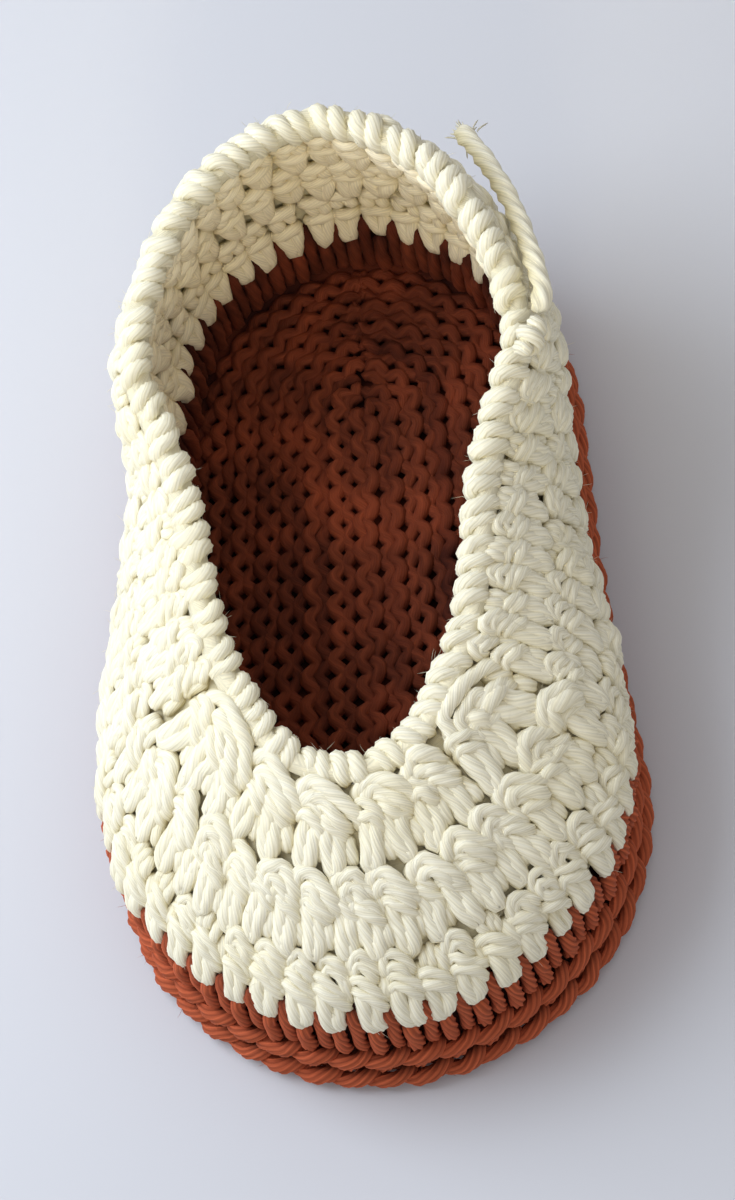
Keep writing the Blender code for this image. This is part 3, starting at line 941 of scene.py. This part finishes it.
    def core(self) -> StrandMesh:
        """Makes the fabric's middle, which closes the gaps between the two faces and is painted halfway into
        shade.

        Returns:
            The mesh of a thin closed shell.
        """
        around, up = self.core_grid
        share = np.linspace(-1, 1, around, endpoint=False)[:, None]
        climb = np.linspace(*self.core_climb, up)[None, :]
        outer, inner = (self.form.place(share, climb, -d)[..., :3] for d in self.core_depth)
        loop = np.concatenate([outer, inner[:, ::-1]], axis=1)
        mesh = StrandMesh()
        add_loop(mesh, loop, self.core_painted_light)
        return mesh


def add_loop(mesh: StrandMesh, loop: Array, painted_light: float) -> None:
    """Adds a body whose closed section is carried once round the foot.

    Args:
        mesh: takes the body.
        loop: columns round the foot x points round the section x 3.
        painted_light: its level of painted light, 0 for full painted shade.
    """
    columns, points = loop.shape[:2]
    i, k = np.meshgrid(np.arange(columns), np.arange(points), indexing="ij")
    a, b = i * points + k, (i + 1) % columns * points + k
    c, d = (i + 1) % columns * points + (k + 1) % points, i * points + (k + 1) % points
    quads = np.stack([a, b, c, d], axis=-1).reshape(-1, 4)
    mesh.add_faces(loop.reshape(-1, 3), list(quads), painted_light)


@dataclass
class CollarEdging:
    """A round of slip stitches over the collar's edge, each a fat pair of strands."""

    form: ShoeForm
    yarn: Yarn = Yarn(radius=0.00092, plies=9, ply_depth=0.14, groove_shade=0.26, lay=0.0100, loose=0.40)
    pitch: float = 0.0040
    # Along the edge, across it from inside to outside, and past it, in mm.
    arch: Rows = (
        (-0.8, -0.60, -0.9), (-0.75, -0.90, 0.35), (-0.45, -0.72, 1.45), (0.0, 0.0, 1.90),
        (0.45, 0.72, 1.45), (0.75, 0.90, 0.35), (0.8, 0.60, -0.9))
    # Each stitch is two such arches, this far to either side of its middle.
    twin_mm: float = 0.80
    place_jitter: float = 0.05
    stitch_jitter: float = 0.06
    strand_jitter: float = 0.04
    wobble_mm: float = 0.12
    # Across and past the edge, in mm, of the corners of the body inside the rope, painted partly in shade
    # where it shows between the strands.
    core: Rows = ((-1.35, -0.4), (1.35, -0.4), (1.45, 0.6), (0.95, 1.55), (-0.95, 1.55), (-1.45, 0.6))
    core_painted_light: float = 0.7
    core_columns: int = 240
    # The edge's length is measured through so many places.
    measures: int = 1601
    # The climb of a place just under the edge, which shows where past the edge is.
    under_edge: float = 0.97
    # How far past the edge a strand is out in the light, and how much it faces that way, in mm; nearer the
    # edge its colour is painted in shade.
    lit_mm: float = 0.6
    lean_mm: float = 0.5
    roots: list[Array] = field(default_factory=list)

    def frames(self, share: Array) -> tuple[Array, Array, Array]:
        """Follows the edge of the collar.

        Args:
            share: where round the foot.

        Returns:
            The middle of the wall's top edge, the wall's normal and the direction past the edge.
        """
        top = self.form.place(share, np.ones_like(share), 0.0)
        below = self.form.place(share, np.full_like(share, self.under_edge), 0.0)
        normal = top[..., 3:6]
        past = top[..., :3] - below[..., :3]
        past = unit(past - (past * normal).sum(-1, keepdims=True) * normal)
        return top[..., :3] - normal * self.form.wall / 2 + past * self.form.seam, normal, past

    def build(self, finish: CottonFinish, material: bpy.types.Material) -> None:
        """Makes the rope of stitches.

        Args:
            finish: names the slot.
            material: the yarn's material.
        """
        rng = np.random.default_rng(SEED + 10)
        share = np.linspace(-1, 1, self.measures)
        line = self.frames(share)[0]
        run = np.concatenate([[0], np.cumsum(np.linalg.norm(np.diff(line, axis=0), axis=1))])
        count = round(run[-1] / self.pitch)
        at = (np.arange(count) + 0.5 + rng.normal(0, self.place_jitter, count)) / count * run[-1]
        fat = rng.normal(1, self.stitch_jitter, count)
        mesh = StrandMesh()
        path = np.array(self.arch)
        for shift in (-self.twin_mm, self.twin_mm):
            loose = rng.normal(0, self.wobble_mm, (count, len(path), 3))
            along, across, past = np.moveaxis(path + loose, -1, 0)
            place = np.interp((at[:, None] + (along + shift) * MM) % run[-1], run, share)
            foot, normal, beyond = self.frames(place)
            offset = normal * (across * MM)[..., None] + beyond * (past * MM)[..., None]
            facing = unit(offset + beyond * (self.lean_mm * MM))
            # Points nearer the edge than that are set deeper, which paints them in shade.
            out = -np.clip(self.lit_mm - past, 0, 2) * MM
            girth = fat * rng.normal(1, self.strand_jitter, count)
            self.yarn.sweep(mesh, pinned(foot + offset, facing, out), girth, rng)
        foot, normal, beyond = self.frames(np.linspace(-1, 1, self.core_columns, endpoint=False))
        ring = [foot + normal * a * MM + beyond * b * MM for a, b in self.core]
        add_loop(mesh, np.stack(ring, axis=1), self.core_painted_light)
        self.roots += mesh.roots
        settle(mesh.piece("collar_edging_rope", material), finish.slot, "collar_edging")


@dataclass(frozen=True)
class Rim:
    """A ring of strands round the sole: their path, the ring's line and their thickness."""

    path: Rows
    inset: float
    height: float
    girth: float
    face: Face = Face.OUTER


@dataclass
class Sole:
    """Two crocheted ovals with braided rims, one of which turns up as a band under the upper."""

    form: ShoeForm
    yarn: Yarn = Yarn(radius=0.00092, plies=7, ply_depth=0.24, groove_shade=0.55, lay=0.0110,
                      full_shade_out=-0.0015, no_shade_out=0.0002, loose=0.12)
    # The footbed is painted far into shade: painted shade for the shade inside the shoe.
    floor_yarn: Yarn = Yarn(radius=0.00088, plies=5, groove_shade=0.3, full_shade_out=-0.0008, no_shade_out=0.0064)
    tread_yarn: Yarn = Yarn(radius=0.00092, plies=4, step=0.0011, full_shade_out=-0.0012, no_shade_out=0.0006)
    # So is the band's inside: painted shade inside the shoe.
    lining_yarn: Yarn = Yarn(radius=0.00092, plies=5, step=0.0009, full_shade_out=-0.0006, no_shade_out=0.0060)
    columns: int = 64
    rounds: int = 7
    floor_inset: float = 0.0062
    floor_height: float = 0.0068
    tread_inset: float = 0.0018
    tread_height: float = 0.0016
    floor_pitch: float = 0.0033
    # How far each round's stitches are set on from those of the round outside it.
    stagger: float = 0.28
    # How far a round's two strands are from its middle and how far they wave, in shares of its width.
    apart: float = 0.27
    wave: float = 0.18
    # How high the strands wave and how far they stray, in mm, then the distance between such
    # strays and how far past the strand's end they are drawn.
    lift_mm: float = 0.25
    stray_mm: float = 0.14
    stray_run: float = 0.0016
    stray_past: float = 0.002
    # How much both strands dip where they close on a stitch.
    dip: float = 0.4
    # The two halves of a round overlap by this share at toe and heel, and go through so many places.
    overlap: float = 0.012
    places: int = 440
    # Widths of a round, and the thickness of its strands at each.
    girth_for_width: Rows = ((0.0024, 0.84), (0.0033, 1.0))
    stitch: float = 0.0040
    wobble_mm: float = 0.06
    girth_jitter: float = 0.03
    # For each ring, how far its line is inside the sole's edge, and its height.
    band_line: tuple[float, float] = (0.0026, 0.0100)
    lining_line: tuple[float, float] = (0.0057, 0.0104)
    upper_line: tuple[float, float] = (0.0019, 0.0061)
    groove_line: tuple[float, float] = (0.0021, 0.0039)
    lower_line: tuple[float, float] = (0.0013, 0.0018)
    link_girth: float = 0.95
    groove_girth: float = 0.82
    # Along the rim, out of the rim's line and up, in mm.
    link: Rows = (
        (-3.0, -1.3, -0.55), (-2.1, -0.35, -0.48), (-1.1, 0.15, -0.28), (0.0, 0.30, 0.0),
        (1.1, 0.15, 0.28), (2.1, -0.35, 0.48), (2.9, -1.3, 0.50))
    groove: Rows = (
        (-1.4, -1.1, -1.6), (-0.7, -0.25, -0.9), (0.0, 0.0, 0.0), (0.7, -0.25, 0.9), (1.4, -1.1, 1.6))
    band: tuple[Strand, ...] = (
        Strand(((0.0, -1.2, -3.1), (0.0, -0.05, -2.4), (0.05, 0.12, -0.8), (0.0, 0.10, 0.9),
                (0.0, -0.05, 2.3), (0.0, -1.0, 3.3)), 0.92),
        Strand(((2.0, -1.2, -3.1), (2.05, -0.45, -2.3), (1.95, -0.25, -0.8), (2.05, -0.28, 0.9),
                (2.1, -0.40, 2.4), (2.05, -0.55, 4.0), (2.0, -0.80, 5.2), (2.0, -1.6, 6.2)), 0.86),
    )
    # Inset and height, in mm, of the sections of the bodies under the stitches, which are painted dark as
    # full shade.
    dish: Rows = ((3.6, 4.1), (3.0, 5.0), (3.0, 6.6), (3.4, 7.6), (3.4, 12.6), (5.3, 12.6), (5.3, 8.0),
                  (7.0, 5.8))
    slab: Rows = ((3.4, 1.4), (2.4, 1.6), (2.4, 2.6), (3.2, 3.4))
    core_columns: int = 160
    roots: list[Array] = field(default_factory=list)

    def rings(self, rims: list[Rim], rng: np.random.Generator) -> StrandMesh:
        """Lays one strand of every stitch round each rim.

        Args:
            rims: the rings of strands.
            rng: moves each strand a little.

        Returns:
            The mesh of their tubes.
        """
        mesh = StrandMesh()
        for rim in rims:
            table = np.array(rim.path)
            loose = rng.normal(0, self.wobble_mm, (self.columns, len(table), 3))
            along, out, up = np.moveaxis(table + loose, -1, 0)
            column = np.arange(self.columns)[:, None] - self.columns / 2 + along * MM / self.stitch
            share = np.mod(column * 2 / self.columns + 1, 2) - 1
            sign = -1 if rim.face is Face.INNER else 1
            places, away = self.form.outline(share, rim.inset - sign * out * MM, rim.height + up * MM)
            yarn = self.lining_yarn if rim.face is Face.INNER else self.yarn
            girth = rng.normal(rim.girth, self.girth_jitter, self.columns)
            yarn.sweep(mesh, pinned(places, sign * away, out * MM), girth, rng)
        return mesh

    def oval(self, yarn: Yarn, edge: float, height: float, face: Face,
             rng: np.random.Generator) -> StrandMesh:
        """Lays the rounds of a flat oval, two wavy strands to a round with a hole at each stitch.

        Args:
            yarn: the yarn that it is drawn with.
            edge: how far the oval's edge is inside the sole's.
            height: of the strands' middles.
            face: inner for the footbed, seen from above, and outer for the tread, seen from below.
            rng: moves the strands and turns the plies.

        Returns:
            The mesh of their tubes.
        """
        mesh = StrandMesh()
        sign = 1.0 if face is Face.INNER else -1.0
        share = np.linspace(-self.overlap, 1 + self.overlap, self.places)
        _, _, radius = self.form.outward(share)
        gap = (radius - edge) / self.rounds
        girth = np.interp(gap.mean(), *np.transpose(self.girth_for_width))
        for number in range(self.rounds):
            inset = edge + gap * (number + 0.5)
            line = self.form.outline(share, inset, 0.0)[0]
            run = np.concatenate([[0], np.cumsum(np.linalg.norm(np.diff(line, axis=0), axis=1))])
            phase = run / run[-1] * max(1, round(run[-1] / self.floor_pitch))
            marks = np.arange(0, run[-1] + self.stray_past, self.stray_run)
            for mirror, side in ((m, s) for m in (1.0, -1.0) for s in (-1.0, 1.0)):
                wave = np.cos(2 * np.pi * (phase + mirror * self.stagger * number))
                loose = np.interp(run, marks, rng.normal(0, self.stray_mm * MM, len(marks)))
                lateral = side * gap * (self.apart + self.wave * wave) + loose
                lift = sign * self.lift_mm * (side * (1 - wave) / 2 - self.dip * wave) * MM + loose / 2
                places, _ = self.form.outline(share * mirror, inset + lateral, height + lift)
                yarn.sweep(mesh, pinned(places, UP * sign, lift * sign)[None], np.array([girth]), rng)
        return mesh

    def core(self, section: Rows) -> StrandMesh:
        """Makes a dark body under the stitches: its colour is full painted shade.

        Args:
            section: inset and height, in mm, of the points of a section that runs round the foot.

        Returns:
            The mesh, whose first and last points are joined across the foot.
        """
        share = np.linspace(-1, 1, self.core_columns, endpoint=False)
        rings = [self.form.outline(share, i * MM, h * MM)[0] for i, h in section]
        mesh = StrandMesh()
        points = np.concatenate(rings)
        count, faces = len(share), []
        for level in range(len(section) - 1):
            a = level * count + np.arange(count)
            b = level * count + (np.arange(count) + 1) % count
            faces += list(np.stack([a, b, b + count, a + count], axis=-1))
        faces.append(np.arange(count)[::-1])
        faces.append((len(section) - 1) * count + np.arange(count))
        # The whole body is painted in full painted shade.
        mesh.add_faces(points, faces, 0.0)
        return mesh

    def build(self, finish: CottonFinish, material: bpy.types.Material) -> None:
        """Makes the two ovals, their rims, the band and the cores.

        Args:
            finish: names the slot.
            material: the yarn's material.
        """
        rng = np.random.default_rng(SEED + 20)
        band = [Rim(s.path, *line, s.girth, face) for line, face in (
            (self.band_line, Face.OUTER), (self.lining_line, Face.INNER)) for s in self.band]
        braid = [Rim(self.link, *self.upper_line, self.link_girth),
                 Rim(self.groove, *self.groove_line, self.groove_girth)]
        lower_braid = [Rim(self.link, *self.lower_line, self.link_girth)]
        floor = self.floor_yarn, self.floor_inset, self.floor_height, Face.INNER
        tread = self.tread_yarn, self.tread_inset, self.tread_height, Face.OUTER
        made = {
            "insole_band": self.rings(band, rng), "insole_braid": self.rings(braid, rng),
            "insole_floor": self.oval(*floor, rng), "outsole_braid": self.rings(lower_braid, rng),
            "outsole_tread": self.oval(*tread, rng), "insole_core": self.core(self.dish),
            "outsole_core": self.core(self.slab)}
        stands_for = {"insole_floor": ("insole",), "outsole_tread": ("outsole",)}
        for name, mesh in made.items():
            self.roots += mesh.roots
            settle(mesh.piece(name, material), finish.slot, *stands_for.get(name, ()))


@dataclass
class YarnTail:
    """The loose end of the edging's yarn: a small knot on the collar and a frayed tail."""

    yarn: Yarn = Yarn(radius=0.00110, plies=4, sides_per_ply=4, ply_depth=0.26, lay=0.0095, step=0.0005)
    knot_yarn: Yarn = Yarn(radius=0.00085, ply_depth=0.18, groove_shade=0.35)
    hair: Yarn = Yarn(radius=0.00010, plies=4, sides_per_ply=1, ply_depth=0.0, step=0.0006)
    diameter: float = 0.0021
    knot_centre: tuple[float, float, float] = (0.02121, 0.01508, 0.03958)
    # The knot's turns: how far out they go, how many, from where to where along the tail's start,
    # and the part of a sine wave that makes them smaller at the ends.
    knot_size: float = 0.00090
    knot_turns: float = 2.5
    knot_span: tuple[float, float] = (-0.0014, 0.0026)
    knot_swell: tuple[float, float] = (0.5, 2.8)
    # The fibres at the end: how many, their lengths, how far apart they start and how far they spread.
    fray: int = 22
    fray_length: float = 0.0030
    fray_shares: tuple[float, float] = (0.3, 0.8)
    fray_width: float = 0.0005
    fray_spread: float = 0.0006
    route: Rows = (
        (0.0223, 0.0184, 0.0397), (0.0228, 0.0209, 0.0395), (0.0224, 0.0234, 0.0390),
        (0.0217, 0.0266, 0.0383), (0.0208, 0.0301, 0.0375), (0.0197, 0.0338, 0.0365),
        (0.0185, 0.0370, 0.0354), (0.0171, 0.0403, 0.0342), (0.0158, 0.0431, 0.0328),
        (0.0143, 0.0462, 0.0309))

    def build(self, finish: CottonFinish, material: bpy.types.Material) -> None:
        """Args:
            finish: names the slot.
            material: the yarn's material.
        """
        rng = np.random.default_rng(SEED + 30)
        knot = self.knot(rng).piece("tail_knot_loops", material)
        settle(knot, finish.slot, "tail_knot")
        line = smooth_lines(np.array(self.route)[None], self.yarn.step)[0]
        facing = unit(np.cross(np.gradient(line, axis=0), UP))
        strand = StrandMesh()
        self.yarn.sweep(strand, pinned(line, facing, np.zeros(len(line)))[None], np.ones(1), rng)
        tail = strand.piece("yarn_tail_strand", material)
        settle(tail, finish.slot, "yarn_tail")
        fray = self.frayed_end(line, rng).piece("yarn_tail_fray", material)
        settle(fray, finish.slot)

    def knot(self, rng: np.random.Generator) -> StrandMesh:
        """Ties the knot, the yarn's own turns round the start of the tail.

        Args:
            rng: turns the plies.

        Returns:
            Its mesh.
        """
        middle, start = np.array(self.knot_centre), np.array(self.route[0])
        onward = unit(start - middle)
        side = unit(np.cross(onward, UP))
        other = np.cross(side, onward)
        turn, along, swell = (np.linspace(*span, 40)[:, None] for span in (
            (0, 2 * np.pi * self.knot_turns), self.knot_span, self.knot_swell))
        away = side * np.cos(turn) + other * np.sin(turn)
        places = middle + onward * along + away * self.knot_size * np.sin(swell)
        mesh = StrandMesh()
        self.knot_yarn.sweep(mesh, pinned(places, away, 0 * along[:, 0])[None], np.ones(1), rng)
        return mesh

    def frayed_end(self, line: Array, rng: np.random.Generator) -> StrandMesh:
        """Spreads loose fibres from the tail's end.

        Args:
            line: the tail's middle line.
            rng: spreads them.

        Returns:
            Their mesh.
        """
        onward = unit(line[-1] - line[-2])
        side = unit(np.cross(onward, UP))
        other = np.cross(side, onward)
        steps = np.linspace(0, 1, 5)[:, None]
        stray = []
        for _ in range(self.fray):
            away = side * rng.normal(0, 1) + other * rng.normal(0, 1)
            reach = self.fray_length * rng.uniform(*self.fray_shares)
            places = line[-4] + away * self.fray_width + onward * reach * steps \
                + away * self.fray_spread * steps ** 2
            stray.append(pinned(places, side, 0 * steps[:, 0]))
        mesh = StrandMesh()
        self.hair.sweep(mesh, np.stack(stray), np.ones(self.fray), rng)
        return mesh


@dataclass
class Studio:
    """A plain pale table top in soft window-like light from the left, and the camera above the toe."""

    image: tuple[int, int] = (735, 1200)
    target: tuple[float, float, float] = (0.0, 0.0, 0.015)
    distance: float = 0.420
    azimuth: float = 15.78
    elevation: float = 64.0
    roll: float = -19.07
    # The pixel where the target shows, and the picture's scale at the target.
    centre_px: tuple[float, float] = (359.6, 597.3)
    px_per_m: float = 9477.0
    sensor_mm: float = 36.0
    floor_size: float = 3.0
    window_place: tuple[float, float, float] = (-0.20, 0.04, 0.22)
    window_size: tuple[float, float] = (0.22, 0.28)
    window_power: float = 0.86
    window_colour: str = "E6F0FF"
    room_colour: str = "FBFAFF"
    # The room's brightness away from the window and towards it.
    room_levels: tuple[float, float] = (0.36, 0.80)
    bright_side: tuple[float, float, float] = (-0.90, 0.00, 0.44)
    # A small card in front throws light into the heel.
    card_place: tuple[float, float, float] = (0.0, -0.25, 0.20)
    card_aim: tuple[float, float, float] = (0.0, 0.042, 0.036)
    card_size: tuple[float, float] = (0.10, 0.06)
    card_power: float = 0.0054
    card_spread: float = 22.0
    card_colour: str = "FFF3D8"

    def build(self) -> None:
        """Sets up the camera, the floor and the lights."""
        self.camera()
        self.floor()
        self.lights()

    def camera(self) -> None:
        """Places the camera at the photograph's angle."""
        a, e, roll = (math.radians(x) for x in (self.azimuth, self.elevation, self.roll))
        level = Vector((math.cos(a), math.sin(a), 0))
        back = Vector((math.sin(a) * math.cos(e), -math.cos(a) * math.cos(e), math.sin(e)))
        rise = back.cross(level)
        right = level * math.cos(roll) + rise * math.sin(roll)
        up = rise * math.cos(roll) - level * math.sin(roll)
        data = bpy.data.cameras.new("camera")
        wide, high = self.image
        data.sensor_width = self.sensor_mm
        data.lens = self.px_per_m * self.distance * self.sensor_mm / high
        data.shift_x = (wide / 2 - self.centre_px[0]) / high
        data.shift_y = (self.centre_px[1] - high / 2) / high
        data.clip_start, data.clip_end = 0.01, 20.0
        camera = bpy.data.objects.new("camera", data)
        turn = Matrix((right, up, back)).transposed().to_4x4()
        camera.matrix_world = Matrix.Translation(Vector(self.target) + back * self.distance) @ turn
        bpy.context.scene.collection.objects.link(camera)
        bpy.context.scene.camera = camera

    def floor(self) -> None:
        """Lays the pale table top."""
        half = self.floor_size / 2
        mesh = bpy.data.meshes.new("floor")
        corners = [(-half, -half, 0), (half, -half, 0), (half, half, 0), (-half, half, 0)]
        mesh.from_pydata(corners, [], [(0, 1, 2, 3)])
        mesh.materials.append(LaminateFinish().material())
        floor = bpy.data.objects.new("floor", mesh)
        bpy.context.scene.collection.objects.link(floor)

    def lights(self) -> None:
        """Hangs a large soft light on the left and a card in front, in a room brighter on the left."""
        scene = bpy.context.scene
        scene.view_settings.view_transform = "Standard"
        world = bpy.data.worlds.new("room")
        world.use_nodes = True
        tree = world.node_tree
        back = tree.nodes["Background"]
        back.inputs["Color"].default_value = linear(self.room_colour)
        place = add_node(tree, "ShaderNodeTexCoord")
        toward = add_node(tree, "ShaderNodeVectorMath", {
            0: place.outputs["Generated"], 1: self.bright_side}, operation="DOT_PRODUCT")
        level = add_node(tree, "ShaderNodeMapRange", {
            0: toward.outputs["Value"], 1: -1.0, 2: 1.0, 3: self.room_levels[0], 4: self.room_levels[1]})
        tree.links.new(level.outputs[0], back.inputs["Strength"])
        scene.world = world
        self.lamp("window", self.window_place, self.target, self.window_size, self.window_power,
                  self.window_colour)
        self.lamp("card", self.card_place, self.card_aim, self.card_size, self.card_power,
                  self.card_colour, self.card_spread)

    def lamp(self, name: str, place: tuple[float, float, float], aim: tuple[float, float, float],
             size: tuple[float, float], power: float, colour: str, spread: float = 180.0) -> None:
        """Hangs one flat light.

        Args:
            name: the light's name.
            place: where it hangs.
            aim: the place that it faces.
            size: its width and height.
            power: in watts.
            colour: as sRGB hex digits.
            spread: how wide its beam is, in degrees.
        """
        data = bpy.data.lights.new(name, "AREA")
        data.shape, data.size, data.size_y = "RECTANGLE", *size
        data.energy, data.color, data.spread = power, linear(colour)[:3], math.radians(spread)
        lamp = bpy.data.objects.new(name, data)
        lamp.location = place
        lamp.rotation_mode = "QUATERNION"
        lamp.rotation_quaternion = (Vector(aim) - lamp.location).to_track_quat("-Z", "Y")
        bpy.context.scene.collection.objects.link(lamp)


def main() -> None:
    """Builds the studio and every piece of the shoe."""
    logging.basicConfig(level=logging.INFO, format="%(name)s: %(message)s")
    form = ShoeForm()
    cream, rust = CREAM_COTTON.material(), RUST_COTTON.material()
    Studio().build()
    YarnTail().build(CREAM_COTTON, cream)
    sole, upper, edging = Sole(form), Upper(form), CollarEdging(form)
    sole.build(RUST_COTTON, rust)
    upper.build(CREAM_COTTON, cream, INNER_PAINTED_LIGHT_COTTON.material())
    edging.build(CREAM_COTTON, cream)
    LooseFibres("upper_loose_fibres").build(upper.roots + edging.roots, CREAM_COTTON, cream)
    LooseFibres("sole_loose_fibres").build(sole.roots, RUST_COTTON, rust)
    bpy.context.view_layer.update()


if __name__ == "__main__":
    main()
